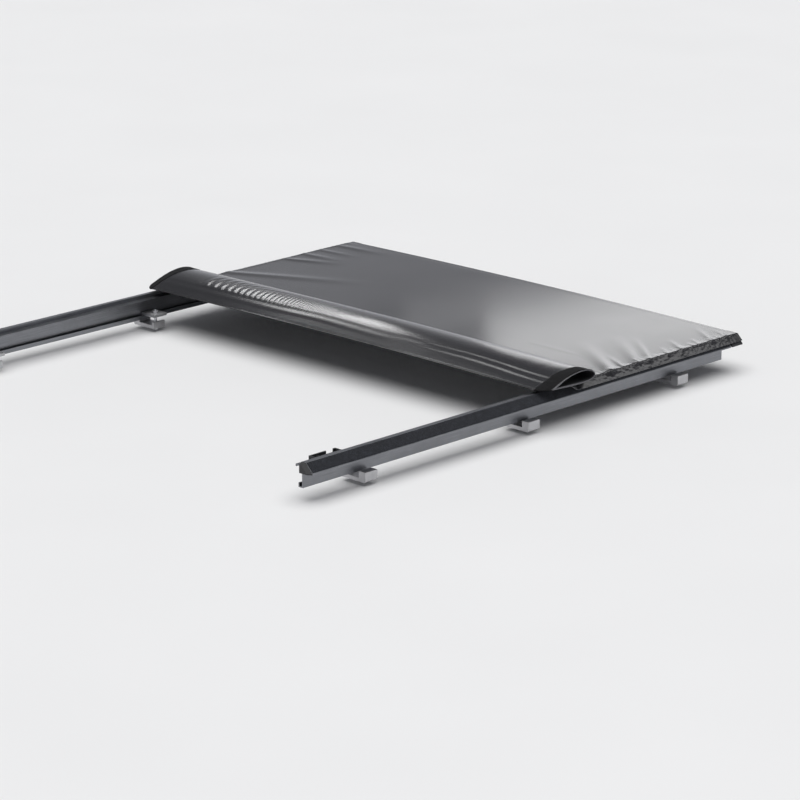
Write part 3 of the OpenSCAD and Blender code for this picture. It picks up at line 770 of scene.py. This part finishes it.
def wound_path(turn_from, turn_to, step):
    """The cloth's path round the roll, from the underside back over the rear edge and in.

    Gives y, z, the outward normal's y and z, how far each point is on the upper side, and the
    cloth length, a step apart on the upper side and three steps apart below.
    """
    turns = np.linspace(turn_from, turn_to, PATH_SAMPLES)
    quarters = (PATH_START - 4 * turns) % 4
    insets = LAYER_START + LAYER_PITCH * turns
    raw = np.array([leaf_point(t, inset) for t, inset in zip(quarters, insets)])
    for _ in range(PATH_SMOOTHING):
        raw[1:-1] = (raw[:-2] + 2 * raw[1:-1] + raw[2:]) / 4
    length = np.concatenate([[0], np.cumsum(np.hypot(*np.diff(raw, axis=0).T))])
    tangent = np.gradient(raw, length, axis=0)
    tangent /= np.linalg.norm(tangent, axis=1, keepdims=True)
    upper = np.interp(length, length[::40], (quarters > 1.9)[::40] * 1.0)
    slack = np.concatenate([[0], np.cumsum(np.diff(length) * (1 + 2 * upper[1:]))]) / 3
    even = np.interp(spaced(0, slack[-1], step), slack, length)
    parts = (raw[:, 0], raw[:, 1], -tangent[:, 1], tangent[:, 0], upper)
    return (*(np.interp(even, length, part) for part in parts), even)


# Ripples on the roll's top: where they start and end, their pitch at the left and from
# RIPPLE_FINE_X on, and their height as a share of it; then how far the long ridge lies from
# the roll's rear edge
RIPPLE_FROM, RIPPLE_TO = -0.665, 0.06
RIPPLE_WIDE, RIPPLE_FINE = 0.036, 0.0062
RIPPLE_FINE_X = -0.12
RIPPLE_STEEP = 0.042
RIDGE_Y = 0.056


def ripple_pitch(x):
    """Width of one ripple at x."""
    share = np.clip((x - RIPPLE_FROM) / (RIPPLE_FINE_X - RIPPLE_FROM), 0, 1)
    return RIPPLE_WIDE + (RIPPLE_FINE - RIPPLE_WIDE) * share


def ripple_phase(x):
    """Waves from the left end to x, with the pitch narrowing all the way."""
    fall = (RIPPLE_WIDE - RIPPLE_FINE) / (RIPPLE_FINE_X - RIPPLE_FROM)
    inside = np.clip(x, RIPPLE_FROM, RIPPLE_FINE_X)
    waves = np.log(RIPPLE_WIDE / ripple_pitch(inside)) / fall
    return 2 * math.pi * (waves + np.maximum(x - RIPPLE_FINE_X, 0) / RIPPLE_FINE)


def roll_ripples(x, y):
    """Curved gathers across the roll's top, wide at the left end and fine at the middle."""
    bow = 0.020 * ((y - 0.125) / 0.060) ** 2
    bend = x - bow
    bend = bend + 0.12 * ripple_pitch(bend) * noise(x, y, 0.13, 0.07, SEED + 40)
    height = RIPPLE_STEEP * ripple_pitch(bend) * (1 + np.sin(ripple_phase(bend))) / 2
    place = smoothstep(RIPPLE_FROM, -0.60, x) * smoothstep(RIPPLE_TO, -0.12, x)
    band = smoothstep(RIDGE_Y + 0.009, 0.082, y) * smoothstep(0.190, 0.135, y)
    return height * place * band * (0.9 + 0.1 * noise(x, y, 0.09, 0.05, SEED + 41))


def ridge_line(x):
    """Course of the long ridge, which wanders and bends towards the roll's rear at the right."""
    wander = 0.0015 * noise(x, 0 * x, 0.22, 1.0, SEED + 42)
    return RIDGE_Y + wander + 0.006 * bell(x, -0.10, 0.13) - 0.010 * smoothstep(0.42, 0.75, x)


# Steps in the roll's surface by its ridge line: rise, and where it starts and ends, from the
# line towards the front
LEFT_STEPS = (
    (-0.00025, -0.052, -0.028),
    (0.00110, -0.024, -0.006),
    (-0.00010, -0.006, 0.006),
    (0.00065, 0.006, 0.022),
)
RIGHT_STEPS = (
    (-0.00050, -0.026, -0.006),
    (0.00120, -0.006, 0.006),
    (-0.00100, 0.006, 0.018),
    (0.00170, 0.018, 0.030),
)
STEPS_RISE = 0.0014
# Groove beside the hem at the roll's rear edge: place, width and depth
GROOVE_Y, GROOVE_WIDTH, GROOVE_DEPTH = 0.0105, 0.0016, 0.0006


def roll_folds(x, y):
    """Folds that every layer shares: steps by the ridge line, low waves, and the hem's groove."""
    up = y - ridge_line(x)
    left, right = (
        sum(tall * smoothstep(low, high, up) for tall, low, high in steps)
        for steps in (LEFT_STEPS, RIGHT_STEPS)
    )
    height = left + (right - left) * smoothstep(0.15, 0.35, x)
    height -= STEPS_RISE * smoothstep(0.085, 0.175, y)
    height += 0.0005 * noise(x, y, 0.21, 0.060, SEED + 43)
    height += 0.0005 * smoothstep(0.35, 0.65, x) * noise(x, y, 0.045, 0.09, SEED + 44)
    height -= GROOVE_DEPTH * bell(y, GROOVE_Y, GROOVE_WIDTH)
    return height * smoothstep(0.002, 0.012, y)


def roll_points(x, path, ripples):
    """Points of the roll's cloth at places x across it, and the outward normals there."""
    y, z, ny, nz, upper, _ = path
    x, y = np.meshgrid(x, y, indexing="ij")
    lift = roll_folds(x, y) * upper
    if ripples:
        lift = lift + roll_ripples(x, y) * upper
    lift = lift * smoothstep(ROLL_HALF, END_START, np.abs(x))
    pull = END_PULL * (np.maximum(0, np.abs(x) - END_START) / END_WIDTH) ** 2
    ahead = y + pull * (1 - y / ROLL_LENGTH)
    points = np.stack([
        x, ROLL_Y + ahead + ny * lift, ROLL_Z + rise(x) + z + nz * lift
    ], axis=-1)
    normal = np.stack([0 * x, 0 * x + ny, 0 * x + nz], axis=-1)
    return points, normal


# Places across the roll: steps at its ends and along it, and places in one ripple
END_STEP, TOP_STEP = 0.0025, 0.0045
PLACES_A_RIPPLE = 6.5


def roll_stations():
    """Places across the roll, close enough together to carry the ripples."""
    places = [RIPPLE_FROM]
    while places[-1] < RIPPLE_TO:
        places.append(places[-1] + min(TOP_STEP, ripple_pitch(places[-1]) / PLACES_A_RIPPLE))
    return np.concatenate([
        spaced(-ROLL_HALF, -END_START, END_STEP),
        spaced(-END_START + 0.004, RIPPLE_FROM - 0.004, TOP_STEP),
        places,
        spaced(places[-1] + 0.004, END_START - 0.004, TOP_STEP),
        spaced(END_START, ROLL_HALF, END_STEP),
    ])


def wound_layer(name, x, turn_from, turn_to, step, ripples):
    """Vinyl from one turn of the roll to another, at places x across it, and its length."""
    path = wound_path(turn_from, turn_to, step)
    outer, normal = roll_points(x, path, ripples)
    inner = outer - VINYL * normal
    uv = np.stack(np.meshgrid(x, path[5], indexing="ij"), axis=-1)
    obj = skin(name, outer[::-1], inner[::-1], uv[::-1], COVER)
    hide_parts("rolled_cover")
    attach(obj, "roll")
    return obj, path[5][-1]


def roll():
    """Both layers of the roll, with their seams and the loop tape round each end."""
    outer, outer_length = wound_layer(
        "rolled_cover_outer_turn", roll_stations(), 0.0, OUTER_TURNS, 0.0023, True
    )
    end = spaced(END_START, ROLL_HALF, END_STEP)
    coarse = np.concatenate([-end[::-1], spaced(-0.74, 0.74, 0.020), end])
    inner, inner_length = wound_layer(
        "rolled_cover_inner_turns", coarse, OUTER_TURNS, LAYER_TURNS, 0.0045, False
    )
    seams = roll_seams()
    for side_name in SIDES:
        roll_loop_tape(side_name)
    return outer, inner


# The roll's seams: round its ends, and along the hem up from its rear edge
END_SEAM_X = 0.762
HEM_SEAM_HALF, HEM_SEAM_Y = 0.756, 0.0135


def roll_seams():
    """Stitches round each end of the roll, and along the hem at its rear edge."""
    rows = []
    path = wound_path(0.0, 1.0, 0.0040)
    for x in (-END_SEAM_X, END_SEAM_X):
        points, up = roll_points(np.array([x]), path, False)
        points, up = points[0] + STITCH_PROUD * up[0], up[0]
        along = np.gradient(points, axis=0)
        along /= np.linalg.norm(along, axis=1, keepdims=True)
        rows.append((points, along, up))
    x = np.arange(-HEM_SEAM_HALF, HEM_SEAM_HALF, 0.0042)
    upper = path[4] > 0.99
    nearest = np.argmin(np.where(upper, np.abs(path[0] - HEM_SEAM_Y), 1.0))
    at = tuple(part[nearest : nearest + 1] for part in path)
    points, up = roll_points(x, at, False)
    points, up = points[:, 0] + STITCH_PROUD * up[:, 0], up[:, 0]
    rows.append((points, np.broadcast_to(np.array([1.0, 0, 0]), points.shape), up))
    obj = stitching("roll_seams", rows, THREAD)
    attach(obj, "roll")
    return obj


LOOP_BAND_FROM = 0.768
LOOP_BAND_WIDTH = 0.035


def roll_loop_tape(side_name):
    """Band of loop tape round one end of the roll, on the cloth's outer face."""
    side = SIDES[side_name]
    path = wound_path(0.0, 0.985, 0.0022)
    x = spaced(LOOP_BAND_FROM, LOOP_BAND_FROM + LOOP_BAND_WIDTH, 0.0015) * side
    base, normal = roll_points(x[::side], path, False)
    tall = 0.0009 + pile(base.shape[:2], SEED + 50 + side, 0.0005)
    outer, inner = base + normal * tall[..., None], base + normal * 0.0002
    uv = np.stack(np.meshgrid(x[::side], path[5], indexing="ij"), axis=-1)
    obj = skin(f"{side_name}_roll_loop_band", outer[::-1], inner[::-1], uv[::-1], [LOOP] * 3)
    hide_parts(f"{side_name}_roll_loop_tape")
    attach(obj, "roll")


# ---- storage straps ----

STRAP_RIBS = 13
STRAP_RIB_HEIGHT = 0.00016
STRAP_THICK = 0.0014
STRAP_INSET = 0.00002
STRAP_SEAM_Z = (-0.010, -0.014, -0.030, -0.034)


def storage_strap(side_name):
    """Stowed loop of ribbed webbing, with its ends sewn together behind the header."""
    low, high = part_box(f"{side_name}_storage_strap")
    radius = (high.y - low.y) / 2 - 0.0001
    middle_y = (low.y + high.y) / 2
    straight = high.z - low.z - 2 * radius
    upper = high.z - radius
    total = 2 * straight + 2 * math.pi * radius
    length = spaced(0, total, 0.0025)[:-1]
    arc = math.pi * radius
    turn = np.clip(length / radius, 0, math.pi)
    turn = turn + np.clip((length - arc - straight) / radius, 0, math.pi)
    falling = np.clip(length - arc, 0, straight)
    rising = np.clip(length - 2 * arc - straight, 0, straight)
    level = np.where(turn < math.pi, upper, upper - falling + rising)
    ny, nz = np.cos(turn), np.sin(turn)
    across = spaced(low.x, high.x, 0.0007)
    ribs = 0.5 + 0.5 * np.cos(2 * math.pi * STRAP_RIBS * (across - low.x) / (high.x - low.x))
    x, y_out = np.meshgrid(across, ny)
    _, z_out = np.meshgrid(across, nz)
    _, z_mid = np.meshgrid(across, level)
    faces = []
    for inward, sign in ((STRAP_INSET, -1), (STRAP_THICK, 1)):
        reach = radius - inward + sign * STRAP_RIB_HEIGHT * ribs[None, :]
        faces.append(np.stack([x, middle_y + y_out * reach, z_mid + z_out * reach], axis=-1))
    uv = np.stack([x, np.broadcast_to(length[:, None], x.shape)], axis=-1)
    obj = skin(f"{side_name}_webbing_strap", *faces, uv, [WEBBING] * 3, wrap=True)
    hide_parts(f"{side_name}_storage_strap")
    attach(obj, "header")
    rows = []
    for z in STRAP_SEAM_Z:
        xs = np.arange(low.x + 0.004, high.x - 0.003, 0.0034)
        ones = np.ones_like(xs)
        points = np.stack([xs, (middle_y - radius) * ones, z * ones], axis=-1)
        rows.append((points, points * 0 + [1, 0, 0], points * 0 + [0, -1, 0]))
    seam = stitching(f"{side_name}_strap_seam", rows, THREAD)
    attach(seam, "header")


# ---- studio ----

CAMERA_PLACE = (6.852, -7.600, 2.699)
CAMERA_TILT, CAMERA_TURN = 73.51, 44.27
CAMERA_LENS, CAMERA_SENSOR = 158.67, 36
FLOOR_HALF = 30
SUN_POWER, SUN_ANGLE = 2.8, 1.35
# Brightness of the surroundings by height, from the horizon (0) to straight up (1)
WORLD_TONES = ((0.0, 0.90), (0.12, 0.74), (0.25, 0.42), (0.42, 0.12), (1.0, 0.10))
WORLD_TINT = (0.985, 1, 1.07)


def panel_light(name, place, target, along, size, power):
    """Rectangular light with its long side along a direction, turned about it to the target."""
    data = bpy.data.lights.new(name, "AREA")
    data.shape, data.size, data.size_y = "RECTANGLE", size[0], size[1]
    data.energy = power
    obj = bpy.data.objects.new(name, data)
    side = Vector(along).normalized()
    back = Vector(place) - Vector(target)
    back = (back - side * back.dot(side)).normalized()
    obj.rotation_euler = Matrix((side, back.cross(side), back)).transposed().to_euler()
    obj.location = place
    bpy.context.scene.collection.objects.link(obj)
    return obj


def reflect_in_vinyl(light, pieces):
    """Keeps a small panel's light to the vinyl, so that it leaves no patch on the floor."""
    group = bpy.data.collections.new(f"{light.name}_receivers")
    for piece in pieces:
        group.objects.link(piece)
    light.light_linking.receiver_collection = group


def pale_world():
    """Studio surroundings: pale at the horizon, dimmer higher up."""
    world = bpy.data.worlds.new("pale_world")
    world.use_nodes = True
    tree = world.node_tree
    place = tree.nodes.new("ShaderNodeTexCoord")
    height = tree.nodes.new("ShaderNodeSeparateXYZ")
    ramp = tree.nodes.new("ShaderNodeValToRGB")
    tree.links.new(place.outputs["Generated"], height.inputs[0])
    tree.links.new(height.outputs["Z"], ramp.inputs[0])
    tree.links.new(ramp.outputs[0], tree.nodes["Background"].inputs["Color"])
    for _ in range(len(WORLD_TONES) - 2):
        ramp.color_ramp.elements.new(0.5)
    for element, (level, tone) in zip(ramp.color_ramp.elements, WORLD_TONES):
        element.position = level
        element.color = (*(share * tone for share in WORLD_TINT), 1)
    bpy.context.scene.world = world


# Panels that the vinyl reflects: place, target, direction of the long side, size, power. Sheen
# panel and sheen edge light the flat part, the others the roll's ripples, the steps at its
# right end and the right hem
SHEEN_ALONG = (0.556, 0.809, -0.188)
VINYL_PANELS = {
    "sheen_panel": (
        (-0.2264, 0.68, 0.4106), (0.92, -0.20, 0.03), SHEEN_ALONG, (0.85, 0.3076), 1.72
    ),
    "sheen_edge": (
        (-0.362, 0.579, 0.239), (0.794, -0.302, -0.133), SHEEN_ALONG, (1.10, 0.104), 0.17
    ),
    "band_panel": (
        (-1.570, 0.335, 1.089), (-0.235, -0.747, 0.07), (-0.934, 0, 0.357), (1.02, 0.18), 6.2
    ),
    "ridge_panel": (
        (-0.321, -0.520, 0.987), (0.55, -0.79, 0.06), (1, 0, 0), (0.55, 0.12), 1.2
    ),
    "hem_panel": (
        (1.18, 0.72, 1.02), (0.785, -0.32, 0.02), (0, 1, 0), (1.0, 0.35), 2.4
    ),
}


def studio(vinyl_pieces):
    """Floor, surroundings, lights and camera; the panels shine on the vinyl only."""
    bpy.context.scene.view_settings.view_transform = "Standard"
    pale_world()
    low = cad_box[0].z - 0.002
    square = ((-1, -1), (1, -1), (1, 1), (-1, 1))
    corners = np.array([(FLOOR_HALF * x, FLOOR_HALF * y, low) for x, y in square])
    floor = mesh_object("floor", corners, np.array([[0, 1, 2, 3]]), corners[:, :2], [pale_floor()])

    for name, panel in VINYL_PANELS.items():
        reflect_in_vinyl(panel_light(name, *panel), vinyl_pieces)
    sun = bpy.data.lights.new("overhead", "SUN")
    sun.energy, sun.angle = SUN_POWER, SUN_ANGLE
    bpy.context.scene.collection.objects.link(bpy.data.objects.new("overhead", sun))

    camera = bpy.data.objects.new("camera", bpy.data.cameras.new("camera"))
    camera.data.lens, camera.data.sensor_width = CAMERA_LENS, CAMERA_SENSOR
    camera.location = CAMERA_PLACE
    camera.rotation_euler = (math.radians(CAMERA_TILT), 0, math.radians(CAMERA_TURN))
    bpy.context.scene.collection.objects.link(camera)
    bpy.context.scene.camera = camera


def stretched_cover():
    """Flat vinyl, its loop tapes and seams, with their transforms baked into their points."""
    cover, width, length = flat_cover()
    seams = cover_seams()
    tapes = [cover_loop_tape(side_name) for side_name in SIDES]
    for piece in (cover, seams, *tapes):
        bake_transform(piece)
    return cover


dress_frame()
cloth = [stretched_cover(), *roll()]
for side_name in SIDES:
    rail_hook_tape(side_name)
    storage_strap(side_name)
studio(cloth)
